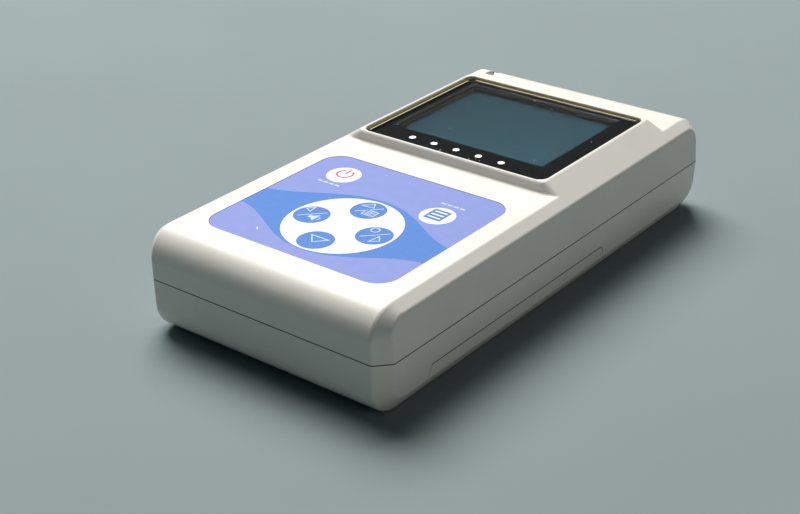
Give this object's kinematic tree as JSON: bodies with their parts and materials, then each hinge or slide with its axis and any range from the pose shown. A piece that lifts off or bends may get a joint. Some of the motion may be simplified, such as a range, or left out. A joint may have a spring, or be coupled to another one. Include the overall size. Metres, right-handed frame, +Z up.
{
  "type": "microchip scanner",
  "caption": "Pocket veterinary microchip scanner: white two-shell handset with raised colour display, status lamps, membrane keypad and a sliding battery door.",
  "frame": {"origin": "middle of the underside, on the surface the handset lies on", "axes": "+X across the handset to its right, +Y along it to the display end, +Z up out of the keypad"},
  "size_m": [0.06, 0.113, 0.024],
  "materials": {
    "case_white": "satin moulded",
    "window_clear": "polished",
    "mask_black": "printed",
    "gasket_foam": "foam",
    "panel_dark": "polished",
    "tin_plate": "plated",
    "ribbon_amber": "film",
    "connector_cream": "moulded",
    "guide_clear": "translucent",
    "lamp_white": "moulded",
    "overlay_lilac": "printed film",
    "switch_black": "moulded",
    "board_green": "solder mask",
    "coil_copper": "enamelled wire",
    "former_black": "moulded",
    "chip_black": "moulded",
    "pack_grey": "sleeve",
    "contact_gold": "gold plated",
    "screw_steel": "plated",
    "key_white": "printed film",
    "key_blue": "printed film"
  },
  "bodies": {
    "handset": {"top_case": "case_white", "bottom_case": "case_white", "display_window": "window_clear", "keypad_overlay": "overlay_lilac", "battery_pack": "pack_grey", "display_gasket": "gasket_foam", "display_panel": "panel_dark", "display_frame": "tin_plate", "display_ribbon": "ribbon_amber", "ribbon_socket": "connector_cream", "light_guide": "guide_clear", "status_lamps": "lamp_white", "tact_switches": "switch_black", "main_board": "board_green", "antenna_coil": "coil_copper", "coil_former": "former_black", "reader_chip": "chip_black", "processor_chip": "chip_black", "clock_crystal": "tin_plate", "buzzer": "former_black", "data_socket": "tin_plate", "battery_foam": "gasket_foam", "battery_contacts": "contact_gold", "case_screws": "screw_steel", "board_screws": "screw_steel", "strap_pin": "screw_steel", "window_mask": "mask_black"},
    "battery_door": {"battery_door": "case_white"},
    "power_key": {"power_key": "key_white"},
    "menu_key": {"menu_key": "key_white"},
    "up_key": {"up_key": "key_blue"},
    "down_key": {"down_key": "key_blue"},
    "left_key": {"left_key": "key_blue"},
    "right_key": {"right_key": "key_blue"}
  },
  "joints": [
    {"name": "battery_door_slide", "type": "slide", "parent": "handset", "child": "battery_door", "axis": [1, 0, 0], "range_m": [0, 0.046]},
    {"name": "power_key_press", "type": "slide", "parent": "handset", "child": "power_key", "axis": [0, 0, -1], "range_m": [0, 0.0004], "stiffness_N_per_m": 1500},
    {"name": "menu_key_press", "type": "slide", "parent": "handset", "child": "menu_key", "axis": [0, 0, -1], "range_m": [0, 0.0004], "stiffness_N_per_m": 1500},
    {"name": "up_key_press", "type": "slide", "parent": "handset", "child": "up_key", "axis": [0, 0, -1], "range_m": [0, 0.0004], "stiffness_N_per_m": 1500},
    {"name": "down_key_press", "type": "slide", "parent": "handset", "child": "down_key", "axis": [0, 0, -1], "range_m": [0, 0.0004], "stiffness_N_per_m": 1500},
    {"name": "left_key_press", "type": "slide", "parent": "handset", "child": "left_key", "axis": [0, 0, -1], "range_m": [0, 0.0004], "stiffness_N_per_m": 1500},
    {"name": "right_key_press", "type": "slide", "parent": "handset", "child": "right_key", "axis": [0, 0, -1], "range_m": [0, 0.0004], "stiffness_N_per_m": 1500}
  ]
}
